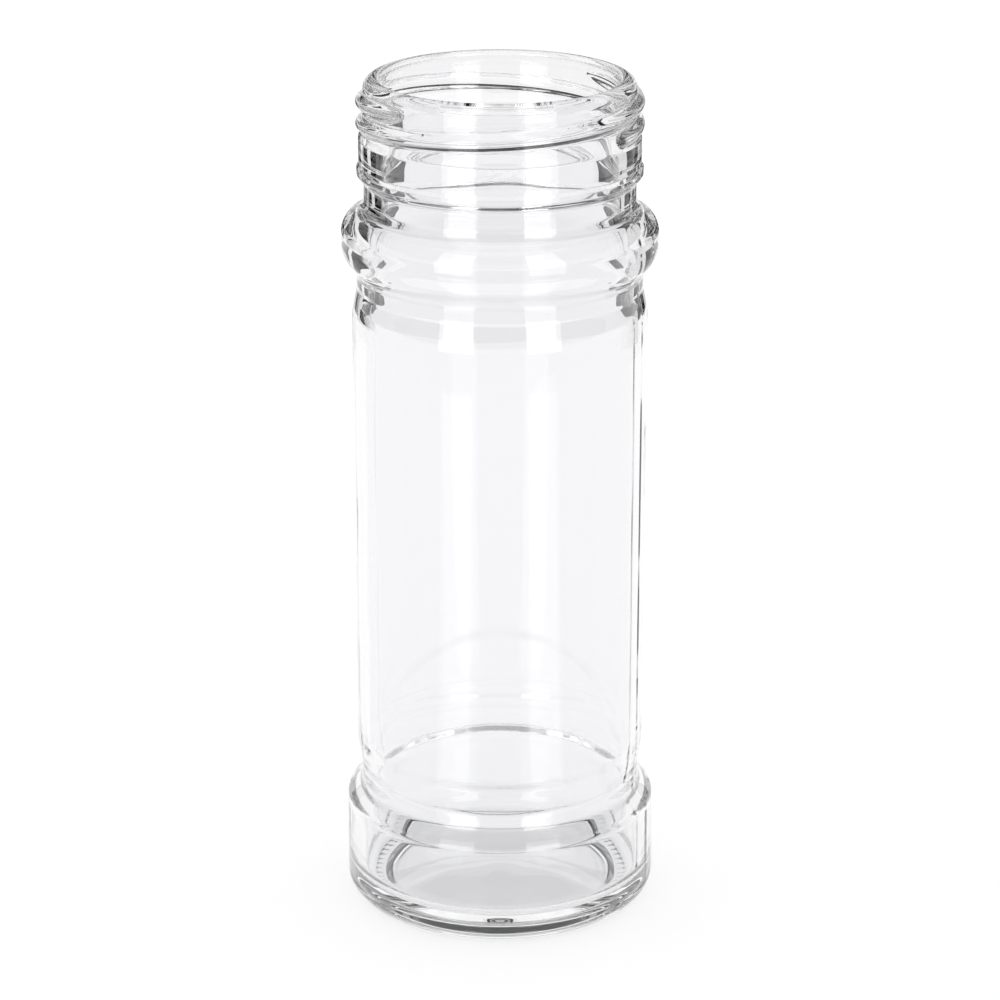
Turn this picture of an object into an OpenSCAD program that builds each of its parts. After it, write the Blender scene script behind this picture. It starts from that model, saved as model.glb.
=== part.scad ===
// Spice jar of clear glass: one blown and moulded piece with a screw finish at the mouth,
// a bulge ring under the neck, a straight body, and a heel band on a pushed-up base.
// Lengths are in millimetres. Z is the jar's axis, and Z = 0 is the surface it stands on.

/* [Lip and mouth] */
// Bore of the mouth, which a sifter insert plugs into
mouth_bore_d = 34.6; // [31:0.1:36]
// Depth from the lip to where the bore starts to flare into the bulge ring
mouth_bore_l = 19.4; // [19.2:0.1:20.6]
// Rounding of the lip's outer edge
lip_outer_r = 1.6; // [0.4:0.1:2]
// Rounding of the lip's inner edge
lip_inner_r = 0.7; // [0.2:0.1:1.2]

/* [Screw finish] */
// Diameter of the plain wall that the threads stand on
finish_d = 39.5; // [38:0.1:40.4]
// Height of that wall, from the neck band to the lip
finish_h = 6.6; // [5.8:0.1:9]
// Diameter over the crests of the threads
thread_d = 41.7; // [41:0.1:43]
// Number of threads that start at the lip
thread_starts = 2; // [1:1:3]
// Height that one thread drops in a full turn
thread_lead = 6.5; // [5:0.1:8]
// Angle that one thread runs round the neck
thread_turn = 262; // [120:1:300]
// Width of a thread where it meets the wall
thread_w = 2.9; // [1.8:0.1:3.2]
// Depth of the thread's top end below the lip, to the middle of the thread
thread_drop = 2.6; // [2:0.1:3]
// Angle over which a thread's blunt ends round off
thread_end_angle = 5; // [3:0.5:12]
// Direction of the first thread's top end, seen from above
thread_start_angle = 226.5; // [0:0.5:360]

/* [Neck band and bead] */
// Diameter of the straight band below the threads
neck_band_d = 41; // [40.6:0.1:43]
// Height of the neck band
neck_band_h = 5.3; // [3:0.1:8]
// Diameter of the bead that the jar was held by when it was made
bead_d = 41.6; // [41:0.1:45]
// Height of the bead's edge
bead_h = 0.9; // [0.6:0.1:3]

/* [Waist and bulge ring] */
// Diameter of the waist between the bead and the bulge ring
waist_d = 39.6; // [39:0.1:40.6]
// Height of the waist
waist_h = 4.2; // [2.5:0.1:8]
// Diameter of the bulge ring
ring_d = 46.3; // [44.5:0.1:52]
// Height of the ring's crest between its rounded shoulders
ring_h = 5.5; // [5:0.1:9]
// Rise of the ring's upper side towards the waist
ring_top_rise = 1.3; // [0.8:0.1:2]
// Rise of the ring's underside from the lower waist
ring_under_rise = 2.1; // [1.2:0.1:4]
// Rounding of the ring's upper shoulder
ring_r = 3.1; // [1:0.1:3.5]
// Rounding of the ring's lower shoulder
ring_under_r = 3.6; // [1:0.1:4]
// Rounding where the waist runs out onto the ring
crease_r = 1.9; // [0.4:0.1:2.2]
// Rounding where the ring's underside runs in to the lower waist
lower_waist_r = 2.4; // [0.6:0.1:3]
// Diameter of the lower waist, under the ring
lower_waist_d = 41.9; // [40.4:0.1:43]
// Height of the lower waist
lower_waist_h = 2.8; // [1.5:0.1:6]

/* [Body] */
// Diameter of the straight body
body_d = 43.4; // [42.4:0.1:45]
// Height of the straight body
body_h = 67.6; // [40:0.2:110]
// Height over which the body rounds in to the lower waist
shoulder_h = 3.8; // [2:0.1:8]
// Height over which the body tapers in to the groove
taper_h = 3.6; // [2:0.1:8]

/* [Groove and heel band] */
// Diameter of the groove between the body and the heel band
groove_d = 42.3; // [41.6:0.1:43.2]
// Height of the groove's straight bottom
groove_h = 2.9; // [1.5:0.1:6]
// Rise of the sloping step from the heel band up to the groove
step_rise = 2.3; // [1.2:0.1:4]
// Diameter of the heel band at its foot
heel_band_d = 47; // [45:0.1:54]
// How much narrower the heel band is at its top
heel_band_draft = 0.3; // [0:0.1:1]
// Height of the heel band
heel_band_h = 15.6; // [10:0.2:30]
// Rounding of the heel, from the band to the foot
heel_r = 2.8; // [1:0.1:3.2]

/* [Base] */
// Width of the flat ring that the jar stands on
bearing_w = 2.9; // [1.5:0.1:4]
// Width of the slope from that ring up to the pushed-up middle
push_up_slope_w = 1.2; // [0.6:0.1:3]
// Height of the slope
push_up_edge_h = 0.9; // [0.4:0.1:2]
// Height of the pushed-up middle above the table
push_up_h = 1.8; // [1:0.1:3]

/* [Glass thickness] */
// Wall of the body
body_wall = 1.9; // [1.2:0.1:2.6]
// Wall at the bulge ring's crest
ring_wall = 3.35; // [2.2:0.05:3.6]
// Wall at the lower waist
lower_waist_wall = 1.95; // [1.6:0.05:3]
// Wall at the groove
groove_wall = 2.25; // [1.8:0.05:3.4]
// Wall of the heel band
heel_wall = 2.5; // [2.2:0.05:4]
// Floor at its middle
floor_t = 2.5; // [2.4:0.1:6]
// How much lower the floor lies at its edge than at its middle
floor_dish = 0.9; // [0:0.1:1]
// Rounding of the corner between the floor and the wall
floor_corner_r = 2.4; // [1:0.1:6]

/* [Hidden] */
$fn = 128;

// Largest turn between two points of an arc, in degrees
arc_step = 7.5;
// Points from the middle to the edge of a domed surface
dome_steps = 8;
// How far a thread reaches into the wall, so that the two are one piece of glass
thread_sink = 0.3;
// Turn between two sections of a thread, and the points across a section
thread_step = 4;
section_steps = 8;
thread_end_steps = 5;

// Roundings that hold only to the shape of the glass
small_r = 0.4;
waist_r = 0.8;
groove_r = 1.6;
step_r = 1.3;
bend_r = 3;
soft_r = 6;
flare_r = 5;
ring_in_top_r = 2.4;
ring_in_under_r = 3;
lower_waist_in_top_r = 3;
groove_in_bend_r = 2.4;
heel_in_bend_r = 2.6;

// Heights, stacked from the table up
step_z = heel_band_h;
groove_z = step_z + step_rise;
taper_z = groove_z + groove_h;
body_z = taper_z + taper_h;
shoulder_z = body_z + body_h;
lower_waist_z = shoulder_z + shoulder_h;
ring_under_z = lower_waist_z + lower_waist_h;
ring_z = ring_under_z + ring_under_rise;
ring_top_z = ring_z + ring_h;
crease_z = ring_top_z + ring_top_rise;
// The bead and the two ends of the neck band slope in over these heights
bead_under_rise = 1.1;
bead_top_rise = 0.6;
band_top_rise = 0.6;
bead_under_z = crease_z + waist_h;
bead_z = bead_under_z + bead_under_rise;
bead_top_z = bead_z + bead_h;
neck_band_z = bead_top_z + bead_top_rise;
neck_band_top_z = neck_band_z + neck_band_h;
finish_z = neck_band_top_z + band_top_rise;
lip_z = finish_z + finish_h;

// Radii of the inner wall, each from the outer one beside it
body_in_r = body_d / 2 - body_wall;
ring_in_r = ring_d / 2 - ring_wall;
lower_waist_in_r = lower_waist_d / 2 - lower_waist_wall;
groove_in_r = groove_d / 2 - groove_wall;
heel_in_r = heel_band_d / 2 - heel_wall;
bore_r = mouth_bore_d / 2;

// The inner surface follows the outer one softly, so its bends lie this far above or below
// the outer ones, and the flare under the bore falls this much for each millimetre it widens
flare_fall = 1.2;
ring_in_lift = 2.3;
lower_waist_in_top_lift = 0.9;
lower_waist_in_lift = 0.5;
body_in_lift = 1;
heel_in_drop = 1.4;
flare_z = lip_z - mouth_bore_l;
ring_in_top_z = flare_z - (ring_in_r - bore_r) * flare_fall;
ring_in_z = ring_z + ring_in_lift;
lower_waist_in_top_z = ring_under_z + lower_waist_in_top_lift;
lower_waist_in_z = lower_waist_z + lower_waist_in_lift;
body_in_z = body_z + body_in_lift;
groove_in_z = groove_z + groove_h / 2;
heel_in_top_z = step_z - heel_in_drop;

// Foot of the jar, from the band in to the pushed-up middle
heel_corner_r = heel_band_d / 2;
bearing_in_r = heel_corner_r - heel_r - bearing_w;
push_up_r = bearing_in_r - push_up_slope_w;
floor_z = push_up_h + floor_t;
floor_edge_z = floor_z - floor_dish;
floor_r = heel_in_r - floor_corner_r;

// Plain 2D geometry on outline corners, each [radius, height, rounding]
function at(p) = [p[0], p[1]];
function direction(from, to) = (at(to) - at(from)) / norm(at(to) - at(from));
function opening_angle(pts, i) =
    acos(max(-1, min(1, direction(pts[i], pts[i - 1]) * direction(pts[i], pts[i + 1]))));
function is_round(pts, i) = i > 0 && i < len(pts) - 1 && pts[i][2] > 0;

// Length that the rounding of corner i takes from the edges beside it
function tangent_l(pts, i) = is_round(pts, i) ? pts[i][2] / tan(opening_angle(pts, i) / 2) : 0;

// Share of its rounding that corner i keeps where its neighbours need part of the same edge
function edge_share(pts, i, j) =
    norm(at(pts[i]) - at(pts[j])) / max(0.001, tangent_l(pts, i) + tangent_l(pts, j));
function kept_share(pts, i) = min(1, edge_share(pts, i, i - 1), edge_share(pts, i, i + 1));

// Points of the arc that rounds corner i, tangent to both of its edges
function corner_arc(pts, i) =
    let (
        back = direction(pts[i], pts[i - 1]),
        ahead = direction(pts[i], pts[i + 1]),
        half = opening_angle(pts, i) / 2,
        r = pts[i][2] * kept_share(pts, i),
        centre = at(pts[i]) + (back + ahead) / norm(back + ahead) * r / sin(half),
        first = at(pts[i]) + back * r / tan(half) - centre,
        last = at(pts[i]) + ahead * r / tan(half) - centre,
        start = atan2(first[1], first[0]),
        swing = atan2(last[1], last[0]) - start,
        turn = swing > 180 ? swing - 360 : swing < -180 ? swing + 360 : swing,
        steps = max(2, ceil(abs(turn) / arc_step))
    )
    [for (k = [0 : steps]) centre + r * [cos(start + turn * k / steps), sin(start + turn * k / steps)]];

function rounded(pts) =
    [for (i = [0 : len(pts) - 1]) each (is_round(pts, i) ? corner_arc(pts, i) : [at(pts[i])])];

// A shallow dome as outline corners, from the axis out to radius r
function dome(r, middle_z, edge_z) =
    [for (k = [0 : dome_steps])
        [r * k / dome_steps, middle_z + (edge_z - middle_z) * pow(k / dome_steps, 2), 0]];
function reversed(list) = [for (i = [len(list) - 1 : -1 : 0]) list[i]];

// Under side and outside of the jar, from the axis up to the lip
outside = concat(
    dome(push_up_r, push_up_h, push_up_edge_h),
    [
        [bearing_in_r, 0, small_r],
        [heel_corner_r, 0, heel_r],
        [heel_corner_r - heel_band_draft / 2, step_z, step_r],
        [groove_d / 2, groove_z, groove_r],
        [groove_d / 2, taper_z, bend_r],
        [body_d / 2, body_z, soft_r],
        [body_d / 2, shoulder_z, soft_r],
        [lower_waist_d / 2, lower_waist_z, bend_r],
        [lower_waist_d / 2, ring_under_z, lower_waist_r],
        [ring_d / 2, ring_z, ring_under_r],
        [ring_d / 2, ring_top_z, ring_r],
        [waist_d / 2, crease_z, crease_r],
        [waist_d / 2, bead_under_z, waist_r],
        [bead_d / 2, bead_z, small_r],
        [bead_d / 2, bead_top_z, small_r],
        [neck_band_d / 2, neck_band_z, small_r],
        [neck_band_d / 2, neck_band_top_z, small_r],
        [finish_d / 2, finish_z, small_r],
        [finish_d / 2, lip_z, lip_outer_r]
    ]);

// Inside of the jar, from the lip down to the floor
inside = concat(
    [
        [bore_r, lip_z, lip_inner_r],
        [bore_r, flare_z, flare_r],
        [ring_in_r, ring_in_top_z, ring_in_top_r],
        [ring_in_r, ring_in_z, ring_in_under_r],
        [lower_waist_in_r, lower_waist_in_top_z, lower_waist_in_top_r],
        [lower_waist_in_r, lower_waist_in_z, bend_r],
        [body_in_r, shoulder_z, soft_r],
        [body_in_r, body_in_z, soft_r],
        [groove_in_r, groove_in_z, groove_in_bend_r],
        [heel_in_r, heel_in_top_z, heel_in_bend_r],
        [heel_in_r, floor_edge_z, floor_corner_r]
    ],
    reversed(dome(floor_r, floor_z, floor_edge_z)));

// One section of a thread: a half ellipse on the wall, shrunk by swell towards the ends
function thread_section(angle, z, swell) =
    let (root_r = finish_d / 2 - thread_sink, rise = thread_d / 2 - root_r)
    [for (k = [0 : section_steps])
        let (t = 180 * k / section_steps, r = root_r + rise * swell * sin(t))
        [r * cos(angle), r * sin(angle), z + thread_w / 2 * swell * cos(t)]];

// Angles and swells along a thread, with its ends rounded off as quarter ellipses
thread_end_turns = [for (k = [1 : thread_end_steps]) 90 * k / (thread_end_steps + 1)];
thread_middle = thread_turn - 2 * thread_end_angle;
thread_middle_steps = ceil(thread_middle / thread_step);
thread_stations = concat(
    [for (t = thread_end_turns) [thread_end_angle * (1 - cos(t)), sin(t)]],
    [for (k = [0 : thread_middle_steps])
        [thread_end_angle + thread_middle * k / thread_middle_steps, 1]],
    [for (t = reversed(thread_end_turns)) [thread_turn - thread_end_angle * (1 - cos(t)), sin(t)]]);

// One right-handed thread, from its top end down and clockwise round the neck
module thread(start_angle) {
    n = section_steps + 1;
    last = len(thread_stations) - 1;
    points = [for (s = thread_stations)
        each thread_section(start_angle - s[0], lip_z - thread_drop - thread_lead * s[0] / 360, s[1])];
    sides = [for (i = [0 : last - 1], k = [0 : n - 1])
        each [
            [i * n + k, i * n + (k + 1) % n, (i + 1) * n + (k + 1) % n],
            [i * n + k, (i + 1) * n + (k + 1) % n, (i + 1) * n + k]
        ]];
    ends = [[for (k = [n - 1 : -1 : 0]) k], [for (k = [0 : n - 1]) last * n + k]];
    polyhedron(points, concat(sides, ends), convexity = 4);
}

// The whole jar: a revolved wall with the threads grown out of its neck
module jar() {
    color([0.86, 0.9, 0.9, 0.45])
        union() {
            rotate_extrude()
                polygon(rounded(concat(outside, inside)));
            for (k = [0 : thread_starts - 1])
                thread(thread_start_angle + 360 * k / thread_starts);
        }
}

jar();
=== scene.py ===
"""A clear glass spice jar on a white table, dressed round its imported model."""

import math

import bpy
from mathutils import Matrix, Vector


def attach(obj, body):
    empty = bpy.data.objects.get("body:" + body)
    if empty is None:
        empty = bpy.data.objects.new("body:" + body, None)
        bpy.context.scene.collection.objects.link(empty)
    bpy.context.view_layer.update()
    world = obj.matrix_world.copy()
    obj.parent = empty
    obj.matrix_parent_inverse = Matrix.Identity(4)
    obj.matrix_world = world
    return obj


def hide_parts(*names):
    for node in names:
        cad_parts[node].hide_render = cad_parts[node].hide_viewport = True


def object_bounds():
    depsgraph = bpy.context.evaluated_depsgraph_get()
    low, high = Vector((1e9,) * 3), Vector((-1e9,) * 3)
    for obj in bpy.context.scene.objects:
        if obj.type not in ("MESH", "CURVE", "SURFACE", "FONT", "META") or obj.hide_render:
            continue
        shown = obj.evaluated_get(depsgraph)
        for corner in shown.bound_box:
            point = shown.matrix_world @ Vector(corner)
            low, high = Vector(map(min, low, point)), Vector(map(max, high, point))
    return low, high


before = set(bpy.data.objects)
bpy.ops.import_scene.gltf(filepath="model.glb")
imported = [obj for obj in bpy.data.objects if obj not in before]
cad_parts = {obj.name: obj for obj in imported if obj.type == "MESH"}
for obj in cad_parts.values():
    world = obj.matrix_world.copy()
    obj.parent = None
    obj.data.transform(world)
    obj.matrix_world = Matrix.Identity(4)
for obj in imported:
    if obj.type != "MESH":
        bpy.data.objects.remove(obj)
cad_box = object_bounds()

MM = 0.001
scene = bpy.context.scene
scene.view_settings.view_transform = "Standard"


# Camera
# The photograph was taken with a long lens from a little above, at about four jar heights away.
# The jar stands upright in the middle of its frame.
LENS_MM = 122.4
SENSOR_MM = 36.0
CAMERA_PITCH = math.radians(19.54)
CAMERA_DISTANCE = 509.0 * MM
AIM_HEIGHT = 62.26 * MM
NEAREST_SEEN = 10 * MM
FARTHEST_SEEN = 100.0

camera_data = bpy.data.cameras.new("studio_camera")
camera_data.lens = LENS_MM
camera_data.sensor_width = SENSOR_MM
camera_data.clip_start = NEAREST_SEEN
camera_data.clip_end = FARTHEST_SEEN
camera = bpy.data.objects.new("studio_camera", camera_data)
camera.location = (
    0.0,
    -CAMERA_DISTANCE * math.cos(CAMERA_PITCH),
    AIM_HEIGHT + CAMERA_DISTANCE * math.sin(CAMERA_PITCH),
)
camera.rotation_euler = (math.pi / 2 - CAMERA_PITCH, 0.0, 0.0)
scene.collection.objects.link(camera)
scene.camera = camera


# Jar wall
# The whole jar is one gob of soda-lime glass, blown and pressed in a two-part mould, so its
# wall is one closed surface of revolution. The outline runs in mm from the middle of the
# pushed-up base, out over the foot, up the outside, over the lip and down the inside.
LIP_Z = (cad_box[1].z - cad_box[0].z) / MM
FOOT_R = 23.5
FINISH_R = 19.75
BORE_R = 17.3
SIDES = 288  # faces round the jar

# Corners of the outside: radius, height, rounding, longest step along the edge that follows
OUTSIDE = [
    (0.0, 1.8, 0, 2.0),
    (8.3, 1.575, 0, 2.0),
    (16.6, 0.9, 0, 0.6),
    (17.8, 0.0, 0.4, 0.45),
    (FOOT_R, 0.0, 2.8, 1.6),
    (23.35, 15.6, 1.3, 0.8),
    (21.15, 17.9, 1.6, 0.8),
    (21.15, 20.8, 3.0, 0.8),
    (21.7, 24.4, 6.0, 6.0),
    (21.7, 92.0, 6.0, 0.8),
    (20.95, 95.8, 3.0, 0.8),
    (20.95, 98.2, 2.4, 0.8),
    (23.15, 101.1, 3.6, 0.8),
    (23.15, 106.2, 3.1, 0.8),
    (19.8, 107.5, 1.9, 0.8),
    (19.8, 111.7, 0.8, 0.5),
    (20.8, 112.8, 0.4, 0.5),
    (20.8, 113.7, 0.4, 0.5),
    (20.5, 114.3, 0.4, 0.9),
    (20.5, 118.2, 2.0, 0.24),
    (FINISH_R, 120.9, 1.5, 0.24),
    (FINISH_R, LIP_Z, 1.6, 0.6),
    (BORE_R, LIP_Z, 0.7, 1.0),
]
# Corners of the inside, which follows the outside softly, in the same way
INSIDE = [
    (BORE_R, LIP_Z - 0.7, 0, 1.6),
    (BORE_R, 107.8, 3.0, 0.3),
    (20.4, 104.8, 2.0, 0.8),
    (20.4, 101.1, 3.0, 0.8),
    (18.7, 98.8, 2.6, 0.8),
    (19.0, 95.0, 3.0, 0.8),
    (19.8, 92.0, 6.0, 3.2),
    (19.8, 25.4, 6.0, 0.8),
    (18.9, 19.35, 2.4, 0.8),
    (21.0, 14.2, 2.6, 0.9),
    (21.0, 3.4, 2.4, 1.5),
    (8.0, 4.1, 0, 2.0),
    (0.0, 4.3, 0, 0),
]
ARC_STEP = math.radians(9)
SAME_POINT = 1e-6


def corner_arc(before, corner, after):
    """Points of the arc that rounds a corner of an outline, tangent to both of its edges."""
    here = Vector(corner[:2])
    back = (Vector(before[:2]) - here).normalized()
    ahead = (Vector(after[:2]) - here).normalized()
    half = back.angle(ahead) / 2
    radius = corner[2]
    centre = here + (back + ahead).normalized() * (radius / math.sin(half))
    first = here + back * (radius / math.tan(half)) - centre
    turn = -first.angle_signed(here + ahead * (radius / math.tan(half)) - centre)
    steps = max(2, math.ceil(abs(turn) / ARC_STEP), math.ceil(abs(turn) * radius / corner[3]))
    spin = [turn * k / steps for k in range(steps + 1)]
    return [
        centre + Vector((
            first.x * math.cos(a) - first.y * math.sin(a),
            first.x * math.sin(a) + first.y * math.cos(a),
        ))
        for a in spin
    ]


def outline(corners):
    """Points along a rounded outline, with its straight edges cut into steps."""
    points = []
    for i, corner in enumerate(corners):
        inner = 0 < i < len(corners) - 1 and corner[2] > 0
        arc = corner_arc(corners[i - 1], corner, corners[i + 1]) if inner else [Vector(corner[:2])]
        if points:
            start, end = points[-1], arc[0]
            pieces = max(1, round((end - start).length / corners[i - 1][3]))
            points += [start.lerp(end, k / pieces) for k in range(1, pieces)]
            if (end - start).length < SAME_POINT:
                arc = arc[1:]
        points += arc
    return points


outer_points = outline(OUTSIDE + [INSIDE[0]])[:-1]
inner_points = outline(INSIDE)


def lathe(name, outer, inner):
    """A closed mesh turned from points of its outside and inside, with its inner side marked."""
    rows = outer[1:] + inner[:-1]
    turns = [2 * math.pi * k / SIDES for k in range(SIDES)]
    verts = [Vector((p.x * math.cos(a), p.x * math.sin(a), p.y)) * MM for p in rows for a in turns]
    faces = [
        (i + k, i + (k + 1) % SIDES, i + SIDES + (k + 1) % SIDES, i + SIDES + k)
        for i in range(0, len(verts) - SIDES, SIDES) for k in range(SIDES)
    ]
    top_row = len(verts) - SIDES
    verts += [Vector((0, 0, outer[0].y)) * MM, Vector((0, 0, inner[-1].y)) * MM]
    bottom_pole, floor_pole = len(verts) - 2, len(verts) - 1
    faces += [(bottom_pole, (k + 1) % SIDES, k) for k in range(SIDES)]
    faces += [(top_row + k, top_row + (k + 1) % SIDES, floor_pole) for k in range(SIDES)]
    inside = [float(i >= (len(outer) - 1) * SIDES) for i in range(len(verts) - 2)] + [0.0, 1.0]
    mesh = bpy.data.meshes.new(name)
    mesh.from_pydata(verts, [], faces)
    mesh.attributes.new("inside", "FLOAT", "POINT").data.foreach_set("value", inside)
    mesh.shade_smooth()
    return mesh


jar_mesh = lathe("glass_jar", outer_points, inner_points)
jar = bpy.data.objects.new("glass_jar", jar_mesh)
scene.collection.objects.link(jar)


# Threads, stipple, mould seams and the unevenness of blown glass
# The two threads are pressed with the finish, the dimples under the foot come from the base
# plate of the mould, and a seam runs down each side where the mould halves met. Only the
# mould's side of the glass is true: the blown inside is a little uneven, and the plunger's
# tip chilled a rough mark into the back of the bore.
DETAIL = {
    "Lip Height": LIP_Z * MM,
    "Wall Radius": (FINISH_R - 0.25) * MM,
    "Crest Radius": 20.85 * MM,
    "Thread Width": 2.7 * MM,
    "Thread Drop": 2.6 * MM,
    "Thread Lead": 6.5 * MM,
    "Thread Starts": 2.0,
    "Thread Turns": 262 / 360,
    "Start Turns": 20 / 360,
    "End Turns": 6 / 360,
    "Start Angle": math.radians(226.5),
    "Crest Fullness": 0.8,
    "Root Blend": 0.3 * MM,
    "Least Width": 0.001 * MM,
    "Seam Angle": math.radians(270 + 73),
    "Seam Height": 0.09 * MM,
    "Seam Half Width": 0.7 * MM,
    "Seam Bottom": 4 * MM,
    "Seam Top": 114.8 * MM,
    "Wave Depth": 0.16 * MM,
    "Wave Scale": 90.0,  # waves about 11 mm long
    "Mark Height": 107.9 * MM,
    "Mark Half Height": 2.2 * MM,
    "Mark Half Angle": math.radians(60),
    "Mark Depth": 0.4 * MM,
    "Mark Scale": 1400.0,  # grains of about 0.7 mm, as coarse as the render needs
    "Dimples Round": 72.0,
    "Dimple Pitch": 0.9 * MM,
    "Dimple Depth": 0.22 * MM,
    "Dimple Plane": 0.05 * MM,
    "Stipple Inner Radius": 18.3 * MM,
    "Stipple Outer Radius": 20.5 * MM,
}
MATH = "ShaderNodeMath"
VECTOR = "ShaderNodeVectorMath"
RAMP = "ShaderNodeMapRange"


def add_node(tree, kind, inputs=(), **settings):
    """Adds a node with its settings, links or fills its inputs, and gives its first output."""
    made = tree.nodes.new(kind)
    for name, value in settings.items():
        setattr(made, name, value)
    for key, value in inputs.items() if isinstance(inputs, dict) else enumerate(inputs):
        if isinstance(value, bpy.types.NodeSocket):
            tree.links.new(value, made.inputs[key])
        else:
            made.inputs[key].default_value = value
    return made.outputs[0] if made.outputs else None


detail = bpy.data.node_groups.new("moulded_detail", "GeometryNodeTree")
detail.interface.new_socket("Geometry", in_out="INPUT", socket_type="NodeSocketGeometry")
detail.interface.new_socket("Geometry", in_out="OUTPUT", socket_type="NodeSocketGeometry")
for label in DETAIL:
    detail.interface.new_socket(label, in_out="INPUT", socket_type="NodeSocketFloat")
detail.interface.new_socket("Glass", in_out="INPUT", socket_type="NodeSocketMaterial")
given = add_node(detail, "NodeGroupInput").node.outputs

# Where each point is: its height, its distance from the axis, its angle, and its side of the wall
place = add_node(detail, "GeometryNodeInputPosition")
x, y, height = add_node(detail, "ShaderNodeSeparateXYZ", (place,)).node.outputs
level = add_node(detail, VECTOR, (place, (1, 1, 0)), operation="MULTIPLY")
radius = add_node(detail, VECTOR, (level,), operation="LENGTH").node.outputs["Value"]
angle = add_node(detail, MATH, (y, x), operation="ARCTAN2")
inside = add_node(detail, "GeometryNodeInputNamedAttribute", {"Name": "inside"}, data_type="FLOAT")
outside = add_node(detail, MATH, (1.0, inside), operation="SUBTRACT")

# How many turns of the nearest thread lie before the point, and how far its crest has fallen
share = add_node(detail, MATH, (1.0, given["Thread Starts"]), operation="DIVIDE")
back = add_node(detail, MATH, (given["Start Angle"], angle), operation="SUBTRACT")
back_turns = add_node(detail, MATH, (back, 2 * math.pi), operation="DIVIDE")
first_turns = add_node(detail, MATH, (back_turns, share, 0.0), operation="WRAP")
thread_top = add_node(detail, MATH, (given["Lip Height"], given["Thread Drop"]), operation="SUBTRACT")
drop = add_node(detail, MATH, (thread_top, height), operation="SUBTRACT")
fallen = add_node(detail, MATH, (drop, given["Thread Lead"]), operation="DIVIDE")
missing = add_node(detail, MATH, (fallen, first_turns), operation="SUBTRACT")
shares = add_node(detail, MATH, (missing, share), operation="DIVIDE")
nearest = add_node(detail, MATH, (shares,), operation="ROUND")
passed = add_node(detail, MATH, (nearest, 0.0), operation="MAXIMUM")
turns = add_node(detail, MATH, (passed, share, first_turns), operation="MULTIPLY_ADD")

# The ridge, which tapers at its start and ends bluntly
left = add_node(detail, MATH, (given["Thread Turns"], turns), operation="SUBTRACT")
at_start = add_node(detail, RAMP, (turns, 0.0, given["Start Turns"], 1.0, 0.0))
at_end = add_node(detail, RAMP, (left, 0.0, given["End Turns"], 1.0, 0.0))
ending = add_node(detail, MATH, (at_start, at_end), operation="MAXIMUM")
cut = add_node(detail, MATH, (ending, ending), operation="MULTIPLY")
kept = add_node(detail, MATH, (1.0, cut), operation="SUBTRACT")
swell = add_node(detail, MATH, (kept,), operation="SQRT")
off_turns = add_node(detail, MATH, (turns, fallen), operation="SUBTRACT")
off_crest = add_node(detail, MATH, (off_turns, given["Thread Lead"]), operation="MULTIPLY")
width = add_node(detail, MATH, (given["Thread Width"], swell), operation="MULTIPLY")
half_width = add_node(detail, MATH, (width, 0.5, given["Least Width"]), operation="MULTIPLY_ADD")
across = add_node(detail, MATH, (off_crest, half_width), operation="DIVIDE")
across_squared = add_node(detail, MATH, (across, across), operation="MULTIPLY")
bump = add_node(detail, RAMP, (across_squared, 0.0, 1.0, 1.0, 0.0))
crest = add_node(detail, MATH, (bump, given["Crest Fullness"]), operation="POWER")
ridge = add_node(detail, MATH, (crest, swell), operation="MULTIPLY")
rise = add_node(detail, MATH, (given["Crest Radius"], given["Wall Radius"]), operation="SUBTRACT")
thread_radius = add_node(detail, MATH, (ridge, rise, given["Wall Radius"]), operation="MULTIPLY_ADD")
blended = add_node(detail, MATH, (radius, thread_radius, given["Root Blend"]), operation="SMOOTH_MAX")
added = add_node(detail, MATH, (blended, radius), operation="SUBTRACT")
has_ridge = add_node(detail, MATH, (ridge, 0.0), operation="GREATER_THAN")
thread_out = add_node(detail, MATH, (added, has_ridge), operation="MULTIPLY")

# The two seams of the mould, from above the heel to the neck band
seam_turn = add_node(detail, MATH, (angle, given["Seam Angle"]), operation="SUBTRACT")
seam_sine = add_node(detail, MATH, (seam_turn,), operation="SINE")
seam_off = add_node(detail, MATH, (seam_sine, radius), operation="MULTIPLY")
seam_away = add_node(detail, MATH, (seam_off,), operation="ABSOLUTE")
seam = add_node(detail, RAMP, (seam_away, 0.0, given["Seam Half Width"], given["Seam Height"], 0.0))
above_heel = add_node(detail, MATH, (height, given["Seam Bottom"]), operation="GREATER_THAN")
below_finish = add_node(detail, MATH, (height, given["Seam Top"]), operation="LESS_THAN")
seam_span = add_node(detail, MATH, (above_heel, below_finish), operation="MULTIPLY")
moulded_out = add_node(detail, MATH, (seam, seam_span, thread_out), operation="MULTIPLY_ADD")

# The uneven blown side, and the chill mark with its finer grain
waves = add_node(
    detail, "ShaderNodeTexNoise",
    {"Vector": place, "Scale": given["Wave Scale"], "Detail": 1.0, "Roughness": 0.4},
)
wave = add_node(detail, MATH, (waves, 0.5), operation="SUBTRACT")
wave_out = add_node(detail, MATH, (wave, given["Wave Depth"]), operation="MULTIPLY")
mark_off = add_node(detail, MATH, (height, given["Mark Height"]), operation="SUBTRACT")
mark_away = add_node(detail, MATH, (mark_off,), operation="ABSOLUTE")
mark_up = add_node(detail, RAMP, (mark_away, 0.0, given["Mark Half Height"], given["Mark Depth"], 0.0))
back_off = add_node(detail, MATH, (angle, math.pi / 2), operation="SUBTRACT")
back_away = add_node(detail, MATH, (back_off,), operation="ABSOLUTE")
mark_round = add_node(detail, RAMP, (back_away, 0.0, given["Mark Half Angle"], 1.0, 0.0))
grain = add_node(
    detail, "ShaderNodeTexNoise",
    {"Vector": place, "Scale": given["Mark Scale"], "Detail": 1.0, "Roughness": 0.5},
)
speck = add_node(detail, MATH, (grain, 0.5), operation="SUBTRACT")
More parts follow.
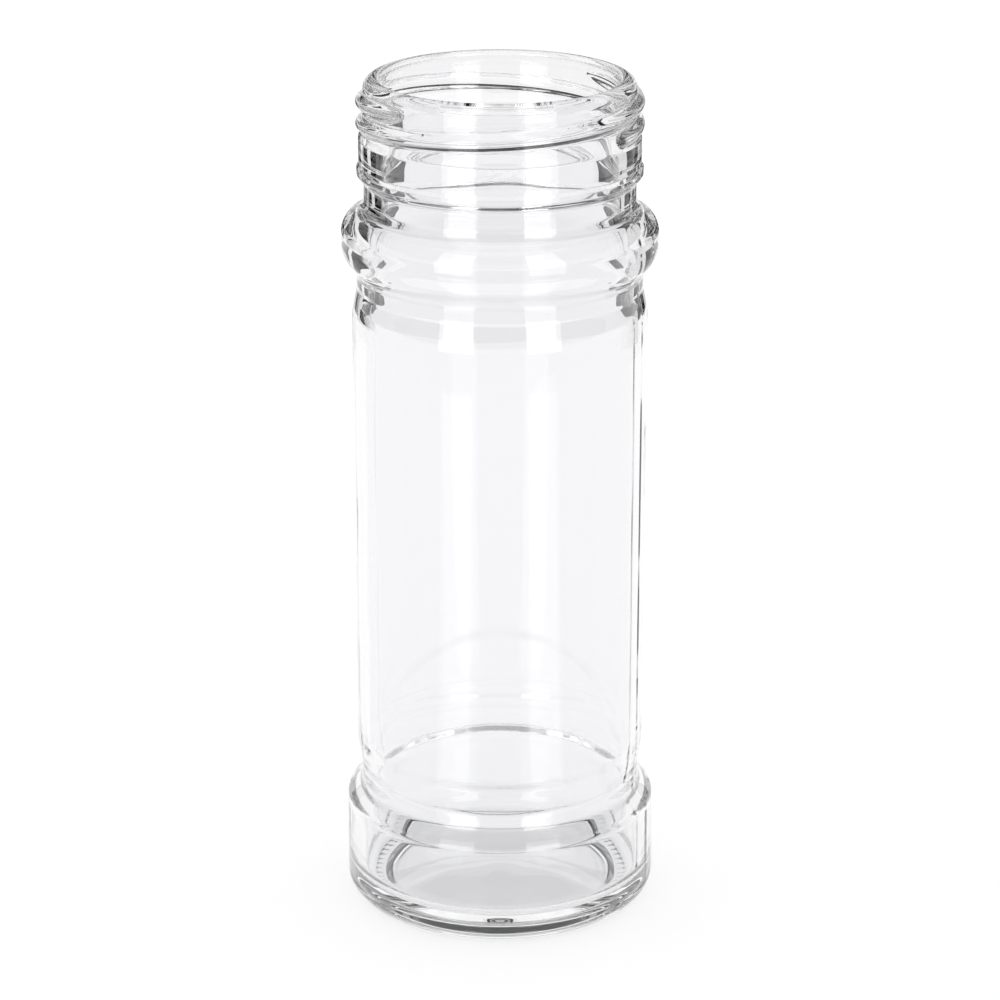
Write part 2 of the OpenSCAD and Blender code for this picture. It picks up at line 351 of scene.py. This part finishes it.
mark = add_node(detail, MATH, (mark_up, mark_round), operation="MULTIPLY")
blown_out = add_node(detail, MATH, (speck, mark, wave_out), operation="MULTIPLY_ADD")

# Rows of dimples in the ring that the jar stands on, drawn a little coarser than real ones
round_angle = add_node(detail, MATH, (angle, given["Dimples Round"]), operation="MULTIPLY")
round_wave = add_node(detail, MATH, (round_angle,), operation="COSINE")
row_turns = add_node(detail, MATH, (radius, given["Dimple Pitch"]), operation="DIVIDE")
row_angle = add_node(detail, MATH, (row_turns, 2 * math.pi), operation="MULTIPLY")
row_wave = add_node(detail, MATH, (row_angle,), operation="COSINE")
round_part = add_node(detail, RAMP, (round_wave, -1.0, 1.0, 0.0, 1.0))
row_part = add_node(detail, RAMP, (row_wave, -1.0, 1.0, 0.0, given["Dimple Depth"]))
dimple = add_node(detail, MATH, (round_part, row_part), operation="MULTIPLY")
on_base = add_node(detail, MATH, (height, given["Dimple Plane"]), operation="LESS_THAN")
past_inner = add_node(detail, MATH, (radius, given["Stipple Inner Radius"]), operation="GREATER_THAN")
before_outer = add_node(detail, MATH, (radius, given["Stipple Outer Radius"]), operation="LESS_THAN")
in_ring = add_node(detail, MATH, (past_inner, before_outer), operation="MULTIPLY")
in_stipple = add_node(detail, MATH, (in_ring, on_base), operation="MULTIPLY")
dimple_up = add_node(detail, MATH, (dimple, in_stipple), operation="MULTIPLY")

# Both sides pushed out along the radius, and the dimples up into the foot
mould_side = add_node(detail, MATH, (moulded_out, outside), operation="MULTIPLY")
outward = add_node(detail, MATH, (blown_out, inside, mould_side), operation="MULTIPLY_ADD")
away = add_node(detail, VECTOR, (level,), operation="NORMALIZE")
sideways = add_node(detail, VECTOR, {0: away, "Scale": outward}, operation="SCALE")
upward = add_node(detail, "ShaderNodeCombineXYZ", (0.0, 0.0, dimple_up))
shift = add_node(detail, VECTOR, (sideways, upward), operation="ADD")
moved = add_node(
    detail, "GeometryNodeSetPosition", {"Geometry": given["Geometry"], "Offset": shift}
)
realized = add_node(detail, "GeometryNodeRealizeInstances", (moved,))
painted = add_node(
    detail, "GeometryNodeSetMaterial", {"Geometry": realized, "Material": given["Glass"]}
)
add_node(detail, "NodeGroupOutput", (painted,))


# Glass
# Clear soda-lime container glass, fire-polished: smooth, and sharp in its reflections. Its
# faint grey tint shows only where the light has a long way through the wall.
def linear(colour):
    """The linear red, green, blue and alpha of an sRGB hex colour."""
    parts = [int(colour[k:k + 2], 16) / 255 for k in (1, 3, 5)]
    return (*(c / 12.92 if c <= 0.04045 else ((c + 0.055) / 1.055) ** 2.4 for c in parts), 1.0)


GLASS_TINT = "#F8F8F9"
GLASS_IOR = 1.52
SHADOW_TINT = "#F4F5F5"
LIGHT_BOUNCES = 24
glass = bpy.data.materials.new("soda_lime_glass")
glass.use_nodes = True
tree = glass.node_tree
tree.nodes.clear()
clear = add_node(
    tree, "ShaderNodeBsdfPrincipled",
    {"Base Color": linear(GLASS_TINT), "Roughness": 0.0, "IOR": GLASS_IOR, "Transmission Weight": 1.0},
)
let_through = add_node(tree, "ShaderNodeBsdfTransparent", (linear(SHADOW_TINT),))
path = add_node(tree, "ShaderNodeLightPath").node.outputs
seen = add_node(tree, "ShaderNodeMixShader", (path["Is Shadow Ray"], clear, let_through))
add_node(tree, "ShaderNodeOutputMaterial", (seen,))

moulded = jar.modifiers.new("moulded_detail", "NODES")
moulded.node_group = detail
for socket in detail.interface.items_tree:
    if socket.in_out == "INPUT" and socket.name in DETAIL:
        moulded[socket.identifier] = DETAIL[socket.name]
    elif socket.name == "Glass":
        moulded[socket.identifier] = glass
shaped = bpy.data.meshes.new_from_object(jar.evaluated_get(bpy.context.evaluated_depsgraph_get()))
jar.modifiers.clear()
jar.data = shaped
jar.data.name = "glass_jar"
scene.cycles.max_bounces = LIGHT_BOUNCES
scene.cycles.transmission_bounces = LIGHT_BOUNCES
scene.cycles.glossy_bounces = LIGHT_BOUNCES
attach(jar, "root")
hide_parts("jar")


# Table
# The jar stands on a wide white board. It shines just enough to meet the white of the
# background, and its matt part takes the jar's soft shadow.
TABLE_SIZE = 12.0
TABLE_GAP = 0.02 * MM
TABLE_COLOUR = "#ACACAC"
TABLE_GLOW = 0.63

board = bpy.data.materials.new("white_board")
board.use_nodes = True
tree = board.node_tree
tree.nodes.clear()
matt = add_node(tree, "ShaderNodeBsdfDiffuse", (linear(TABLE_COLOUR),))
glow = add_node(tree, "ShaderNodeEmission", {"Strength": TABLE_GLOW})
white = add_node(tree, "ShaderNodeAddShader", (matt, glow))
add_node(tree, "ShaderNodeOutputMaterial", (white,))

half = TABLE_SIZE / 2
table_mesh = bpy.data.meshes.new("table_board")
table_mesh.from_pydata(
    [(x * half, y * half, -TABLE_GAP) for x, y in ((-1, -1), (1, -1), (1, 1), (-1, 1))],
    [], [(0, 1, 2, 3)],
)
table_mesh.materials.append(board)
table = bpy.data.objects.new("table_board", table_mesh)
scene.collection.objects.link(table)


# Studio
# A white room for the camera and for the table's matt side. The glass sees a darker one: a
# lit backdrop under a black ceiling edge, black flags beside it, two strip lights in front
# and a light over the jar.
ROOM_GREY = 0.35
WHITE = (1, 1, 1, 1)

world = bpy.data.worlds.new("studio_room")
scene.world = world
world.use_nodes = True
tree = world.node_tree
tree.nodes.clear()
path = add_node(tree, "ShaderNodeLightPath").node.outputs
in_glass = add_node(
    tree, MATH, (path["Is Glossy Ray"], path["Is Transmission Ray"]), operation="MAXIMUM"
)
white_room = add_node(tree, "ShaderNodeBackground", (WHITE, 1.0))
grey_room = add_node(tree, "ShaderNodeBackground", (WHITE, ROOM_GREY))
room = add_node(tree, "ShaderNodeMixShader", (in_glass, white_room, grey_room))
add_node(tree, "ShaderNodeOutputWorld", (room,))

# Sheets round the jar's axis that only its glass sees. Each spans two distances and two
# heights in mm, and two azimuths in degrees from straight behind, and shines with a strength.
SHEETS = {
    "backdrop": ((310, 310), (0, 160), (-22, 22), 0.96),
    "low_backdrop_left": ((310, 310), (0, 30), (-65, -22), 1.0),
    "low_backdrop_right": ((310, 310), (0, 30), (22, 65), 1.0),
    "black_ceiling_edge": ((310, 310), (160, 530), (-40, 40), 0.0),
    "left_thin_flag": ((300, 300), (30, 90), (-31, -14.5), 0.0),
    "left_slit": ((300, 300), (0, 85), (-38, -31), 1.0),
    "left_flag": ((300, 300), (30, 85), (-64, -38), 0.0),
    "right_flag": ((300, 300), (30, 90), (14.5, 44), 0.0),
    "right_open": ((300, 300), (0, 85), (44, 68), 0.8),
    "left_strip_light": ((300, 300), (30, 300), (-160, -134), 3.0),
    "right_strip_light": ((300, 300), (30, 300), (134, 160), 3.0),
    "front_low": ((305, 305), (0, 30), (70, 290), 1.0),
    # The two glowing sheets lying on the table under the strip lights are a painted reflection of
    # those lights in the board, which has no gloss of its own.
    "left_painted_strip_reflection": ((50, 290), (0.1, 0.1), (-158, -135), 1.7),
    "right_painted_strip_reflection": ((50, 290), (0.1, 0.1), (135, 158), 1.7),
    "overhead_light": ((0, 150), (420, 420), (-180, 180), 1.0),
}
SHEET_STEP = 3  # degrees

for name, (distances, heights, azimuths, strength) in SHEETS.items():
    shade = bpy.data.materials.new(name)
    shade.use_nodes = True
    tree = shade.node_tree
    tree.nodes.clear()
    light = add_node(tree, "ShaderNodeEmission", {"Strength": strength})
    add_node(tree, "ShaderNodeOutputMaterial", (light,))
    start, end = azimuths
    steps = max(2, round((end - start) / SHEET_STEP))
    turns = [math.radians(start + (end - start) * k / steps) for k in range(steps + 1)]
    mesh = bpy.data.meshes.new(name)
    mesh.from_pydata(
        [
            (d * MM * math.sin(a), d * MM * math.cos(a), h * MM)
            for a in turns for d, h in zip(distances, heights)
        ],
        [],
        [(2 * k, 2 * k + 1, 2 * k + 3, 2 * k + 2) for k in range(steps)],
    )
    mesh.materials.append(shade)
    panel = bpy.data.objects.new(name, mesh)
    panel.visible_camera = panel.visible_diffuse = panel.visible_shadow = False
    scene.collection.objects.link(panel)
